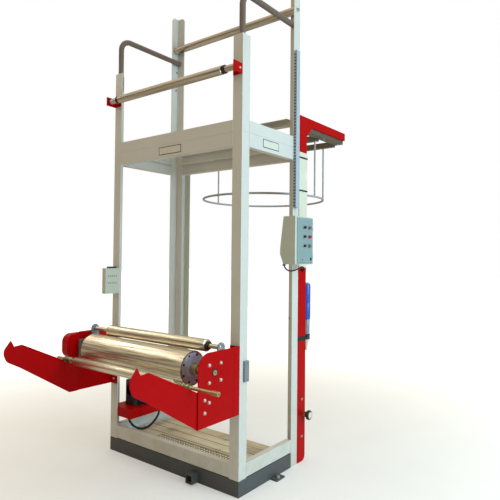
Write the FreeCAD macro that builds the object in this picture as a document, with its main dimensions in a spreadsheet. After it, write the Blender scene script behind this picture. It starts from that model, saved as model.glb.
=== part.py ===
# Blown film take-off tower with its surface winder, in millimetres.
# X runs across the machine, Y from the front to the back, Z up from the floor.
import FreeCAD, Part
import Sketcher
import math
import os

# Driving dimensions
SIZES = {
    # Tower frame
    "frame_width": 1312, "frame_depth": 690, "base_height": 104, "base_wall": 8, "base_flange": 60,
    "column_leg": 80, "column_wall": 7, "column_top": 2358, "front_post_top": 3000, "post_over_axis": 300,
    "post_round": 38, "bottom_rail_height": 90, "rail_wall": 4, "rail_flange": 45,
    "lower_header_height": 93, "upper_header_height": 82, "header_flange": 48,
    # Deck and feet
    "deck_thickness": 6, "tread_width": 560, "tread_depth": 210, "tread_thickness": 5,
    "tread_side_gap": 10, "tread_front_gap": 25,
    "socket_size": 62, "socket_wall": 6, "socket_reach": 66, "socket_from_right": 378, "socket_bottom": 9,
    "lug_length": 96, "lug_reach": 58, "lug_thickness": 12, "lug_hole": 22, "lug_hole_reach": 32, "lug_centre": 398,
    # Top rollers and guard tubes
    "guard_tube": 42, "guard_top": 3310, "guard_foot": 2860, "guard_bend": 90,
    "guide_roller": 58, "guide_journal": 42, "guide_axis_height": 2762, "guide_axis_reach": 55,
    "guide_bracket_wall": 9, "guide_bracket_reach": 87, "guide_bracket_height": 67,
    "guide_bracket_flange": 75, "guide_seat": 6, "guide_from_side": 123,
    "top_roller": 60, "top_journal": 24, "top_axis_height": 3402, "top_axis_from_back": 40,
    "top_journal_out": 14, "running_gap": 0.05, "seat_gap": 0.3, "side_gap": 6,
    # Surface winder
    "plate_wall": 8, "plate_reach": 381, "plate_bottom": 530, "plate_top": 967, "plate_round": 95,
    "plate_fold": 78, "arm_wall": 8, "arm_overlap": 70, "arm_root_height": 218,
    "arm_slope_rise": 180, "arm_slope_run": 368, "notch_run": 54, "notch_drop": 7, "hook_run": 24,
    "hook_rise": 44, "arm_nose_reach": 492, "arm_nose_top": 375, "arm_nose_foot": 340, "arm_nose_round": 50,
    "arm_belly_reach": 472, "arm_belly_height": 294, "arm_under_reach": 380, "arm_under_height": 243,
    "drum": 220, "drum_wall": 8, "drum_axis_reach": 237, "drum_axis_height": 840,
    "drum_right_gap": 185, "drum_left_gap": 94, "drum_journal": 40, "drum_disc": 14, "drum_boss": 68,
    "drum_boss_right": 50, "drum_boss_left": 30, "drum_disc_hole": 12, "drum_hole_inset": 22,
    "bearing_size": 140, "bearing_flange": 14, "bearing_boss": 74, "bearing_depth": 44,
    "lay_on": 78, "lay_on_journal": 30, "lay_on_axis_reach": 168, "lay_on_axis_height": 980,
    "lay_on_right_gap": 128, "lay_on_left_gap": 200, "lay_on_bracket_wall": 12, "lay_on_eye": 64,
    "lay_on_bracket_foot": 50, "lay_on_end_gap": 2,
    "spindle": 60, "spindle_journal": 22, "spindle_reach": 430, "spindle_neck": 165, "spindle_taper": 20,
    "spindle_out_right": 200, "spindle_out_left": 60, "spindle_cap": 29, "spindle_cap_length": 50,
    "ring_width": 94, "ring_size": 46, "ring_bevel": 4,
    # Drive
    "guard_width": 66, "guard_front": 163, "guard_back": 94, "guard_bottom": 775, "guard_height": 178,
    "guard_round": 60,
    "shelf_width": 228, "shelf_depth": 420, "shelf_height": 74, "shelf_top": 352, "shelf_wall": 5,
    "gearbox_size": 118, "gearbox_height": 205, "gearbox_from_column": 10, "motor_size": 128,
    "motor_length": 205, "terminal_size": 72, "terminal_gap": 40, "terminal_rise": 34,
    # Rear frame
    "upright_depth": 113, "upright_width": 62, "upright_wall": 5, "upright_top": 2620, "upright_round": 40,
    "arm_tube": 62, "arm_end": 1436, "gusset": 86, "gusset_wall": 8,
    "back_beam_height": 57, "back_beam_depth": 50, "back_beam_top": 2590,
    "rail_width": 76, "rail_height": 30, "rail_inset": 20, "cross_beam": 45, "cross_beam_middle": 1130,
    "guide_ring_inset": 121, "guide_ring_bar": 18, "guide_rod": 14, "guide_rod_length": 464,
    # Fittings
    "box_depth": 128, "box_front": 445, "box_length": 240, "box_bottom": 1490, "box_height": 341,
    "box_chamfer": 28, "box_foot": 72, "box_bulge": 40, "knob": 26, "knob_reach": 18, "knob_rise": 66,
    "knob_pitch": 68, "knob_top_drop": 76, "knob_middle": 151, "knob_rows": 3,
    "junction_width": 128, "junction_height": 199, "junction_depth": 44, "junction_top": 1441,
    "junction_round": 8,
    "duct_width": 26, "duct_depth": 42, "duct_wall": 2.5, "duct_over_box": 75, "duct_length": 1174,
    "filter_size": 64, "filter_height": 273, "filter_cap_height": 12, "filter_cap": 40, "filter_bowl": 54,
    "filter_bowl_height": 115, "filter_clamp": 60, "filter_clamp_height": 40, "filter_cone_height": 85,
    "filter_cone_end": 22, "filter_top": 1345, "filter_gap": 28, "filter_bracket": 30,
    "filter_bracket_drop": 60,
    "valve_size": 70, "valve_body": 44, "valve_height": 355, "valve_dial": 24, "valve_reach": 79,
    "hose": 16, "gland": 28, "gland_length": 16, "cable": 10, "small_gland": 22, "small_gland_length": 12,
    "latch_width": 44, "latch_height": 134, "latch_depth": 16, "latch_bottom": 732, "latch_middle": 58,
}

doc = FreeCAD.newDocument("TakeOffTower")
sheet = doc.addObject("Spreadsheet::Sheet", "Sizes")
for row, (name, number) in enumerate(SIZES.items(), start=1):
    sheet.set("A%d" % row, name)
    sheet.set("B%d" % row, str(number))
    sheet.setAlias("B%d" % row, name)
doc.recompute()


class Size:
    """A length that knows its value and the formula on the sheet that gives it."""

    def __init__(self, value, formula):
        self.value = float(value)
        self.formula = formula

    @staticmethod
    def of(other):
        return other if isinstance(other, Size) else Size(other, repr(other))

    def __add__(self, other):
        other = Size.of(other)
        return Size(self.value + other.value, "(%s + %s)" % (self.formula, other.formula))

    def __sub__(self, other):
        other = Size.of(other)
        return Size(self.value - other.value, "(%s - %s)" % (self.formula, other.formula))

    def __mul__(self, other):
        other = Size.of(other)
        return Size(self.value * other.value, "(%s * %s)" % (self.formula, other.formula))

    def __truediv__(self, other):
        other = Size.of(other)
        return Size(self.value / other.value, "(%s / %s)" % (self.formula, other.formula))

    def __neg__(self):
        return Size(-self.value, "(0 - %s)" % self.formula)

    def root(self):
        return Size(self.value ** 0.5, "sqrt(%s)" % self.formula)

    def __radd__(self, other):
        return Size.of(other) + self

    def __rsub__(self, other):
        return Size.of(other) - self

    def __rmul__(self, other):
        return Size.of(other) * self


class Sheet:
    """Reads each driving dimension by its name."""

    def __getattr__(self, name):
        return Size(sheet.get(name), "Sizes." + name)


s = Sheet()

# Places that several pieces share, worked out from the driving dimensions
half = s.frame_width / 2
depth = s.frame_depth
leg = s.column_leg
wall = s.column_wall
base_depth = depth - leg
deck_top = s.base_height + s.deck_thickness
header_bottom = s.column_top - s.lower_header_height
upright_end = depth + s.upright_depth
box_end = half + s.box_depth
spindle_end = half + s.spindle_out_right
spindle_side = half + s.spindle_out_left
guard_side = half + s.guard_width
arm_root = s.plate_reach
nose = arm_root + s.arm_nose_reach
arm_low = s.upright_top - s.arm_tube
ring_radius = half - s.guide_ring_inset

# The origin is on the floor, under the middle of the whole machine
centre_x = (spindle_end - guard_side) / 2
ring_end = s.cross_beam_middle + ring_radius + s.guide_ring_bar / 2
centre_y = (ring_end - nose) / 2


def bind(item, name, size):
    """Ties one property of an object to the sheet."""
    item.setExpression(name, Size.of(size).formula)


def place(item, x=0, y=0, z=0, turn=None):
    """Puts an object at a place in the machine, seen from the origin."""
    if turn is not None:
        item.Placement = FreeCAD.Placement(FreeCAD.Vector(0, 0, 0), turn)
    bind(item, "Placement.Base.x", Size.of(x) - centre_x)
    bind(item, "Placement.Base.y", Size.of(y) - centre_y)
    bind(item, "Placement.Base.z", Size.of(z))


ALONG_X = FreeCAD.Rotation(FreeCAD.Vector(0, 1, 0), 90)
ALONG_Y = FreeCAD.Rotation(FreeCAD.Vector(1, 0, 0), -90)
ALONG_Z = FreeCAD.Rotation()
STANDING = FreeCAD.Rotation(FreeCAD.Vector(0, 1, 0), -90)

# How far a piece that cuts runs past the face that it opens
PAST = 1


def block(name, xs, ys, zs):
    """A rectangular block between three pairs of limits."""
    item = doc.addObject("Part::Box", name)
    for side, (low, high) in zip(("Length", "Width", "Height"), (xs, ys, zs)):
        bind(item, side, Size.of(high) - Size.of(low))
    place(item, xs[0], ys[0], zs[0])
    return item


def bar(name, start, length, diameter, turn=ALONG_Z):
    """A round bar from a start point along one axis."""
    item = doc.addObject("Part::Cylinder", name)
    bind(item, "Radius", Size.of(diameter) / 2)
    bind(item, "Height", length)
    place(item, *start, turn=turn)
    return item


def cut(name, base, *tools):
    """One piece with others taken away."""
    item = doc.addObject("Part::Cut", name)
    item.Base = base
    item.Tool = tools[0] if len(tools) == 1 else fuse(name + "_tools", *tools)
    return item


def fuse(name, *parts):
    """Several solids welded into one piece."""
    item = doc.addObject("Part::MultiFuse", name)
    item.Shapes = list(parts)
    return item


def group(name, *parts):
    """Like pieces that share a node and don't touch."""
    item = doc.addObject("Part::Compound", name)
    item.Links = list(parts)
    return item


def mirror(name, source):
    """The same piece on the other side of the machine's middle plane."""
    item = doc.addObject("Part::Mirroring", name)
    item.Source = source
    item.Normal = FreeCAD.Vector(1, 0, 0)
    bind(item, "Base.x", -centre_x)
    return item


def origin_part(body, role):
    """The body's own plane or axis with the given role."""
    return next(item for item in body.Origin.OriginFeatures if item.Role == role)


def sketch_outline(body, role, outline):
    """A closed outline of straight edges whose corners are tied to the sheet."""
    sketch = body.newObject("Sketcher::SketchObject", body.Name + "_outline")
    sketch.AttachmentSupport = [(origin_part(body, role), "")]
    sketch.MapMode = "FlatFace"
    corners = [(Size.of(u), Size.of(v)) for u, v in outline]
    count = len(corners)
    for index, (u, v) in enumerate(corners):
        after_u, after_v = corners[(index + 1) % count]
        start = FreeCAD.Vector(u.value, v.value, 0)
        end = FreeCAD.Vector(after_u.value, after_v.value, 0)
        sketch.addGeometry(Part.LineSegment(start, end), False)
    for index in range(count):
        sketch.addConstraint(Sketcher.Constraint("Coincident", index, 2, (index + 1) % count, 1))
    for index, (u, v) in enumerate(corners):
        for kind, size in (("DistanceX", u), ("DistanceY", v)):
            number = sketch.addConstraint(Sketcher.Constraint(kind, -1, 1, index, 1, size.value))
            sketch.setExpression("Constraints[%d]" % number, size.formula)
    return sketch


def round_corner(body, feature, name, radius, corners, axis):
    """Rounds the edges that run along one axis through the given corners of the outline."""
    doc.recompute()
    names = []
    for number, edge in enumerate(feature.Shape.Edges, start=1):
        middle = edge.CenterOfMass
        spot = [middle[direction] for direction in range(3) if direction != axis]
        flat = abs(edge.tangentAt(edge.FirstParameter)[axis]) > 0.99
        for corner in corners:
            near = all(abs(have - Size.of(want).value) < 0.5 for have, want in zip(spot, corner))
            if flat and near:
                names.append("Edge%d" % number)
    fillet = body.newObject("PartDesign::Fillet", name)
    fillet.Base = (feature, names)
    bind(fillet, "Radius", radius)
    return fillet


def profile(name, role, outline, length, at, rounded=None):
    """A plate, angle or folded section: an outline padded along the axis across it."""
    body = doc.addObject("PartDesign::Body", name)
    sketch = sketch_outline(body, role, outline)
    pad = body.newObject("PartDesign::Pad", name + "_pad")
    pad.Profile = sketch
    pad.Reversed = role == "XZ_Plane"
    bind(pad, "Length", length)
    axis = {"YZ_Plane": 0, "XZ_Plane": 1, "XY_Plane": 2}[role]
    feature = pad
    for number, (corners, radius) in enumerate(rounded or []):
        feature = round_corner(body, feature, "%s_round%d" % (name, number), radius, corners, axis)
    body.Tip = feature
    place(body, *at)
    return body


def turned(name, stations, at, turn=None):
    """A roller, shaft or round housing: half of its section turned about an axis along X."""
    body = doc.addObject("PartDesign::Body", name)
    first, last = stations[0][0], stations[-1][0]
    outline = [(first, 0)] + list(stations) + [(last, 0)]
    sketch = sketch_outline(body, "XY_Plane", outline)
    solid = body.newObject("PartDesign::Revolution", name + "_turn")
    solid.Profile = sketch
    solid.ReferenceAxis = (origin_part(body, "X_Axis"), [""])
    solid.Angle = 360
    body.Tip = solid
    place(body, *at, turn=turn)
    return body


def cord(name, points, thickness):
    """A flexible conduit: straight runs joined by arcs as large as the runs beside them allow."""
    share = 0.45
    spots = [FreeCAD.Vector(*point) for point in points]
    edges = []
    start = spots[0]
    for before, corner, after in zip(spots, spots[1:], spots[2:]):
        back = before - corner
        ahead = after - corner
        half_turn = (math.pi - back.getAngle(ahead)) / 2
        setback = share * min(back.Length, ahead.Length)
        radius = setback / math.tan(half_turn)
        back.normalize()
        ahead.normalize()
        inwards = (back + ahead).normalize()
        middle = corner + inwards * (radius / math.cos(half_turn) - radius)
        leave = corner + ahead * setback
        edges.append(Part.LineSegment(start, corner + back * setback).toShape())
        edges.append(Part.Arc(corner + back * setback, middle, leave).toShape())
        start = leave
    edges.append(Part.LineSegment(start, spots[-1]).toShape())
    route = doc.addObject("Part::Feature", name + "_route")
    route.Shape = Part.Wire(edges)
    place(route)
    section = doc.addObject("Part::Circle", name + "_section")
    bind(section, "Radius", thickness / 2)
    place(section, *points[0], turn=FreeCAD.Rotation(FreeCAD.Vector(0, 0, 1), spots[1] - spots[0]))
    tube = doc.addObject("Part::Sweep", name)
    tube.Sections = [section]
    tube.Spine = (route, ["Edge%d" % number for number in range(1, len(edges) + 1)])
    tube.Solid = True
    return tube


def angle_section(inwards_x, inwards_y):
    """An angle's outline from its outer corner; each sign says which way a leg runs."""
    return [
        (0, 0),
        (inwards_x * leg, 0),
        (inwards_x * leg, inwards_y * wall),
        (inwards_x * wall, inwards_y * wall),
        (inwards_x * wall, inwards_y * leg),
        (0, inwards_y * leg),
    ]


def channel_section(height, flange, thickness, inwards):
    """A channel that opens inwards, from the foot of its web."""
    return [
        (0, 0),
        (inwards * flange, 0),
        (inwards * flange, thickness),
        (inwards * thickness, thickness),
        (inwards * thickness, height - thickness),
        (inwards * flange, height - thickness),
        (inwards * flange, height),
        (0, height),
    ]


def make_base():
    """The floor frame, a ring of channel that opens inwards, with the jack socket and anchor lugs."""
    outer = block("base_outer", (-half, half), (0, base_depth), (0, s.base_height))
    flange = s.base_flange
    inner = block("base_inner", (flange - half, half - flange), (flange, base_depth - flange), (-PAST, s.base_height + PAST))
    web = s.base_wall
    groove = block("base_groove", (web - half, half - web), (web, base_depth - web), (web, s.base_height - web))
    cut("base_frame", outer, inner, groove)
    middle = half - s.socket_from_right
    size = s.socket_size
    low = s.socket_bottom
    tube = block("socket_outer", (middle - size / 2, middle + size / 2), (-s.socket_reach, 0), (low, low + size))
    edge = size / 2 - s.socket_wall
    hollow = block("socket_bore", (middle - edge, middle + edge), (-s.socket_reach - PAST, -s.socket_wall),
                   (low + s.socket_wall, low + size - s.socket_wall))
    cut("base_socket", tube, hollow)
    start = s.lug_centre - s.lug_length / 2
    lug = block("lug_plate", (half, half + s.lug_reach), (start, start + s.lug_length), (0, s.lug_thickness))
    hole = bar("lug_hole_tool", (half + s.lug_hole_reach, s.lug_centre, -PAST), s.lug_thickness + 2 * PAST, s.lug_hole)
    right = cut("anchor_lug_right", lug, hole)
    group("anchor_lugs", right, mirror("anchor_lug_left", right))


def make_deck():
    """The deck plate on the base flanges and the tread plate on its front."""
    edge = s.rail_wall
    plate = block("deck_plate", (edge - half, half - edge), (edge, base_depth), (s.base_height, deck_top))
    corners = [
        block("deck_notch_%s_%d" % (side, index), limits, (0, reach), (s.base_height - PAST, deck_top + PAST))
        for index, (side, limits, reach) in enumerate((
            ("right", (half - leg - s.seat_gap, half + PAST), wall + s.seat_gap),
            ("left", (-half - PAST, leg + s.seat_gap - half), wall + s.seat_gap),
            ("right", (half - wall - s.seat_gap, half + PAST), leg + s.seat_gap),
            ("left", (-half - PAST, wall + s.seat_gap - half), leg + s.seat_gap),
        ))
    ]
    cut("deck", plate, *corners)
    right = half - leg - s.tread_side_gap
    start = s.rail_flange + s.tread_front_gap
    block("tread_plate", (right - s.tread_width, right), (start, start + s.tread_depth),
          (deck_top, deck_top + s.tread_thickness))


def make_columns():
    """Four angle columns, the front pair on the base and the rear pair on the floor."""
    front = s.column_top - s.base_height
    right = profile("front_column_right", "XY_Plane", angle_section(-1, 1), front, (half, 0, s.base_height))
    left = profile("front_column_left", "XY_Plane", angle_section(1, 1), front, (-half, 0, s.base_height))
    group("front_columns", right, left)
    right = profile("rear_column_right", "XY_Plane", angle_section(-1, -1), s.column_top, (half, depth, 0))
    left = profile("rear_column_left", "XY_Plane", angle_section(1, -1), s.column_top, (-half, depth, 0))
    group("rear_columns", right, left)


def ring_of_channel(name, bottom, height, flange, has_rear):
    """Channels between the columns' legs, their webs flush with the legs."""
    opens_back = channel_section(height, flange, s.rail_wall, 1)
    opens_front = channel_section(height, flange, s.rail_wall, -1)
    length = s.frame_width - 2 * leg
    profile(name + "_front", "YZ_Plane", opens_back, length, (leg - half, 0, bottom))
    if has_rear:
        profile(name + "_rear", "YZ_Plane", opens_front, length, (leg - half, depth, bottom))
    side = depth - 2 * leg
    right = profile(name + "_right", "XZ_Plane", opens_front, side, (half, leg, bottom))
    left = profile(name + "_left", "XZ_Plane", opens_back, side, (-half, leg, bottom))
    group(name + "_sides", right, left)


def make_rings():
    """The rail round the deck and the two header rings."""
    ring_of_channel("bottom_rail", deck_top, s.bottom_rail_height, s.rail_flange, False)
    ring_of_channel("lower_header", header_bottom, s.lower_header_height, s.header_flange, True)
    ring_of_channel("upper_header", s.column_top, s.upper_header_height, s.header_flange, True)


def post(name, side, inwards_y, y, top, rounded):
    """An angle post on the header seam, its legs' tops rounded where asked."""
    body = doc.addObject("PartDesign::Body", name)
    sketch = sketch_outline(body, "XY_Plane", angle_section(-side, inwards_y))
    pad = body.newObject("PartDesign::Pad", name + "_pad")
    pad.Profile = sketch
    bind(pad, "Length", top - s.column_top)
    body.Tip = pad
    if rounded:
        doc.recompute()
        names = []
        for number, edge in enumerate(pad.Shape.Edges, start=1):
            middle = edge.CenterOfMass
            high = abs(middle.z - (top - s.column_top).value) < 0.5
            end_x = abs(abs(middle.x) - leg.value) < 0.5
            end_y = abs(abs(middle.y) - leg.value) < 0.5
            if high and (end_x or end_y):
                names.append("Edge%d" % number)
        fillet = body.newObject("PartDesign::Fillet", name + "_round")
        fillet.Base = (pad, names)
        bind(fillet, "Radius", s.post_round)
        body.Tip = fillet
    place(body, side * half, y, s.column_top)
    return body


def make_posts():
    """The upper tower: short front posts and tall rear posts drilled for the top roller."""
    right = post("front_post_right", 1, 1, 0, s.front_post_top, False)
    left = post("front_post_left", -1, 1, 0, s.front_post_top, False)
    group("front_posts", right, left)
    drill = s.top_journal + 2 * s.running_gap
    for side, name in ((1, "rear_post_right"), (-1, "rear_post_left")):
        solid = post(name + "_angle", side, -1, depth, s.top_axis_height + s.post_over_axis, True)
        start = side * half - leg / 2
        hole = bar(name + "_hole", (start, depth - s.top_axis_from_back, s.top_axis_height), leg, drill, ALONG_X)
        cut(name, solid, hole)
    group("rear_posts", doc.rear_post_right, doc.rear_post_left)


def make_guard_tubes():
    """Bent tubes from the front posts' tops back to the rear posts."""
    radius = s.guard_bend
    tubes = []
    for side, name in ((1, "guard_tube_right"), (-1, "guard_tube_left")):
        x = side * (half - wall - s.seat_gap - s.guard_tube / 2)
        y = wall + s.seat_gap + s.guard_tube / 2
        centre_height = s.guard_top - s.guard_tube / 2
        upright = bar(name + "_upright", (x, y, s.guard_foot), centre_height - radius - s.guard_foot, s.guard_tube)
        run_start = y + radius
        run = bar(name + "_run", (x, run_start, centre_height), depth - wall - run_start, s.guard_tube, ALONG_Y)
        bend = doc.addObject("Part::Torus", name + "_bend")
        bind(bend, "Radius1", radius)
        bind(bend, "Radius2", s.guard_tube / 2)
        bend.Angle3 = 90
        place(bend, x, run_start, centre_height - radius,
              turn=FreeCAD.Rotation(FreeCAD.Vector(0, -1, 0), FreeCAD.Vector(0, 0, 1), FreeCAD.Vector(-1, 0, 0)))
        tubes.append(fuse(name, upright, bend, run))
    group("guard_tubes", *tubes)


def make_guide_roller():
    """The front guide roller between two angle brackets on the front posts."""
    y = -s.guide_axis_reach
    z = s.guide_axis_height
    bracket_in = half - s.guide_bracket_wall
    body_end = half - s.guide_from_side
    neck_end = bracket_in + s.guide_seat - s.seat_gap
    neck = s.guide_journal / 2
    stations = [(-neck_end, neck), (-body_end, neck), (-body_end, s.guide_roller / 2),
                (body_end, s.guide_roller / 2), (body_end, neck), (neck_end, neck)]
    turned("guide_roller", stations, (0, y, z))
    blank = profile("guide_bracket_blank", "XY_Plane", [
        (0, 0), (-s.guide_bracket_flange, 0), (-s.guide_bracket_flange, -s.guide_bracket_wall),
        (-s.guide_bracket_wall, -s.guide_bracket_wall), (-s.guide_bracket_wall, -s.guide_bracket_reach),
        (0, -s.guide_bracket_reach),
    ], s.guide_bracket_height, (half, 0, z - s.guide_bracket_height / 2))
    bore = bar("guide_bracket_bore", (bracket_in - PAST, y, z), PAST + s.guide_seat,
               s.guide_journal + 2 * s.running_gap, ALONG_X)
    right = cut("guide_bracket_right", blank, bore)
    group("guide_blocks", right, mirror("guide_bracket_left", right))


def make_top_roller():
    """The top roller that turns in the rear posts."""
    body_end = half - wall - s.side_gap
    neck_end = half + s.top_journal_out
    neck = s.top_journal / 2
    stations = [(-neck_end, neck), (-body_end, neck), (-body_end, s.top_roller / 2),
                (body_end, s.top_roller / 2), (body_end, neck), (neck_end, neck)]
    turned("top_roller", stations, (0, depth - s.top_axis_from_back, s.top_axis_height))


def make_winder_plates():
    """Folded side plates on the front columns that carry the drum, and the arms in front of them."""
    outline = [(0, s.plate_bottom), (0, s.plate_top), (-s.plate_reach, s.plate_top), (-s.plate_reach, s.plate_bottom)]
    web = profile("winder_plate_web", "YZ_Plane", outline, s.plate_wall, (half - s.plate_wall, 0, 0),
                  [([(-s.plate_reach, s.plate_top)], s.plate_round)])
    fold = block("winder_plate_fold", (half - s.plate_fold, half - s.plate_wall), (-s.plate_wall, 0),
                 (s.plate_bottom, s.plate_top))
    hole = bar("winder_plate_hole", (half - 2 * s.plate_wall, -s.drum_axis_reach, s.drum_axis_height),
               3 * s.plate_wall, s.drum_journal + 2 * s.side_gap, ALONG_X)
    blank = fuse("winder_plate_blank", web, fold)
    right = cut("winder_plate_right", blank, hole)
    mirror("winder_plate_left", right)


def make_winder_arms():
    """Rising arms whose top edge is the film roll's track, ending in a notch and a hook."""
    root = -arm_root
    foot = s.plate_bottom
    top = foot + s.arm_root_height
    crest = (root - s.arm_slope_run, top + s.arm_slope_rise)
    notch = (crest[0] - s.notch_run, crest[1] - s.notch_drop)
    hook = (notch[0] - s.hook_run, notch[1] + s.hook_rise)
    slope = s.arm_slope_rise / s.arm_slope_run
    back = root + s.arm_overlap
    outline = [
        (back, foot), (back, top - slope * s.arm_overlap), crest, notch, hook,
        (root - s.arm_nose_reach, foot + s.arm_nose_top),
        (root - s.arm_nose_reach, foot + s.arm_nose_foot),
        (root - s.arm_belly_reach, foot + s.arm_belly_height),
        (root - s.arm_under_reach, foot + s.arm_under_height), (root, foot),
    ]
    inner = half - s.plate_wall - s.arm_wall
    nose_top, nose_foot, belly = outline[5:8]
    right = profile("winder_arm_right", "YZ_Plane", outline, s.arm_wall, (inner, 0, 0),
                    [([nose_top, nose_foot, belly], s.arm_nose_round)])
    mirror("winder_arm_left", right)


def make_drum():
    """The driven winding drum: a tube with bolted end discs and journals in flange bearings."""
    y = -s.drum_axis_reach
    z = s.drum_axis_height
    right_end = half - s.drum_right_gap
    left_end = s.drum_left_gap - half
    radius = s.drum / 2
    neck = s.drum_journal / 2
    boss = s.drum_boss / 2
    left_boss = left_end - s.drum_boss_left
    right_boss = right_end + s.drum_boss_right
    stations = [
        (-half, neck), (left_boss, neck), (left_boss, boss), (left_end, boss), (left_end, radius),
        (right_end, radius), (right_end, boss), (right_boss, boss), (right_boss, neck), (half, neck),
    ]
    blank = turned("drum_blank", stations, (0, y, z))
    inner_start = left_end + s.drum_disc
    hollow = bar("drum_hollow", (inner_start, y, z), right_end - s.drum_disc - inner_start,
                 s.drum - 2 * s.drum_wall, ALONG_X)
    holes = []
    count = 8
    ring = radius - s.drum_hole_inset
    for index in range(count):
        angle = 2 * math.pi * (index + 0.5) / count
        spot = (left_end - PAST, y + ring * math.cos(angle), z + ring * math.sin(angle))
        length = right_end - left_end + 2 * PAST
        holes.append(bar("drum_hole_%d" % index, spot, length, s.drum_disc_hole, ALONG_X))
    cut("winding_drum", blank, hollow, *holes)
    inner = half - s.plate_wall
    size = s.bearing_size
    flange = block("bearing_flange_blank", (inner - s.bearing_flange, inner), (y - size / 2, y + size / 2),
                   (z - size / 2, z + size / 2))
    housing = bar("bearing_housing", (inner - s.bearing_depth, y, z), s.bearing_depth, s.bearing_boss, ALONG_X)
    bore = bar("bearing_bore", (inner - s.bearing_depth - PAST, y, z), s.bearing_depth + 2 * PAST,
               s.drum_journal + 2 * s.running_gap, ALONG_X)
    right = cut("drum_bearing_right", fuse("bearing_blank", flange, housing), bore)
    group("drum_bearings", right, mirror("drum_bearing_left", right))


def make_lay_on_roller():
    """The lay-on roller above the drum, on brackets that stand on the side plates."""
    y = -s.lay_on_axis_reach
    z = s.lay_on_axis_height
    inner = half - s.plate_wall
    bracket_in = inner - s.lay_on_bracket_wall
    right_end = half - s.lay_on_right_gap
    left_end = s.lay_on_left_gap - half
    neck = s.lay_on_journal / 2
    neck_end = inner - s.lay_on_end_gap
    stations = [(-neck_end, neck), (left_end, neck), (left_end, s.lay_on / 2),
                (right_end, s.lay_on / 2), (right_end, neck), (neck_end, neck)]
    turned("lay_on_roller", stations, (0, y, z))
    eye = bar("lay_on_eye_blank", (bracket_in, y, z), s.lay_on_bracket_wall, s.lay_on_eye, ALONG_X)
    width = s.lay_on_eye / 2
    stem = block("lay_on_stem", (bracket_in, inner), (y - width, y + width), (s.plate_top - s.lay_on_bracket_foot, z))
    bore = bar("lay_on_bore", (bracket_in - PAST, y, z), s.lay_on_bracket_wall + 2 * PAST,
               s.lay_on_journal + 2 * s.running_gap, ALONG_X)
    right = cut("lay_on_bracket_right", fuse("lay_on_blank", eye, stem), bore)
    group("lay_on_brackets", right, mirror("lay_on_bracket_left", right))


def make_spindle():
    """The film roll's shaft, which lies across the arms and turns in two rings."""
    slope = s.arm_slope_rise / s.arm_slope_run
    tilt = math.atan2(s.arm_slope_rise.value, s.arm_slope_run.value)
    y = -s.spindle_reach
    lift = (s.spindle_journal / 2 + s.seat_gap) / math.cos(tilt)
    z = s.plate_bottom + s.arm_root_height + slope * (s.spindle_reach - arm_root) + lift
    main_end = half - s.spindle_neck
    taper_end = main_end + s.spindle_taper
    neck = s.spindle_journal / 2
    cap = s.spindle_cap / 2
    cap_start = spindle_end - s.spindle_cap_length
    stations = [
        (-spindle_side, neck), (-taper_end, neck), (-main_end, s.spindle / 2), (main_end, s.spindle / 2),
        (taper_end, neck), (cap_start, neck), (cap_start, cap), (spindle_end, cap),
    ]
    turned("winding_spindle", stations, (0, y, z))
    ring_out = half - s.plate_wall - s.arm_wall - s.side_gap
    ring_in = ring_out - s.ring_width
    rim = s.ring_size / 2
    bevel = s.ring_bevel
    stations = [(0, rim - bevel), (bevel, rim), (s.ring_width - bevel, rim), (s.ring_width, rim - bevel)]
    blank = turned("spindle_ring_blank", stations, (ring_in, y, z))
    bore = bar("spindle_ring_bore", (ring_in - PAST, y, z), s.ring_width + 2 * PAST,
               s.spindle_journal + 2 * s.running_gap, ALONG_X)
    right = cut("spindle_ring_right", blank, bore)
    group("spindle_rings", right, mirror("spindle_ring_left", right))


def make_drive():
    """The drive side: guard over the drum's end, shelf inside the left column, geared motor."""
    x = -guard_side
    y = -s.drum_axis_reach
    start = y - s.guard_front
    end = y + s.guard_back
    top = s.guard_bottom + s.guard_height
    profile("drive_guard", "YZ_Plane", [(start, s.guard_bottom), (end, s.guard_bottom), (end, top), (start, top)],
            s.guard_width, (x, 0, 0),
            [([(start, s.guard_bottom), (start, top), (end, top), (end, s.guard_bottom)], s.guard_round)])
    low = s.shelf_top - s.shelf_height
    shelf_in = wall - half
    edge = s.shelf_wall
    shelf_out = shelf_in + s.shelf_width
    shelf_back = wall + s.shelf_depth
    outer = block("shelf_outer", (shelf_in, shelf_out), (wall, shelf_back), (low, s.shelf_top))
    hollow = block("shelf_hollow", (shelf_in - PAST, shelf_out - edge), (wall + edge, shelf_back - edge),
                   (low - PAST, s.shelf_top - edge))
    cut("motor_shelf", outer, hollow)
    size = s.gearbox_size
    middle = shelf_in + s.shelf_width / 2
    gear_start = leg + s.gearbox_from_column
    gearbox = block("gearbox", (middle - size / 2, middle + size / 2), (gear_start, gear_start + size),
                    (s.shelf_top, s.shelf_top + s.gearbox_height))
    axis_height = s.shelf_top + s.motor_size / 2
    motor = bar("motor_barrel", (middle, gear_start + size, axis_height), s.motor_length, s.motor_size, ALONG_Y)
    box = s.terminal_size
    box_start = gear_start + size + s.terminal_gap
    terminal = block("motor_terminal_box", (middle - box / 2, middle + box / 2), (box_start, box_start + box),
                     (axis_height, axis_height + s.motor_size / 2 + s.terminal_rise))
    fuse("drive_motor", gearbox, motor, terminal)


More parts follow.
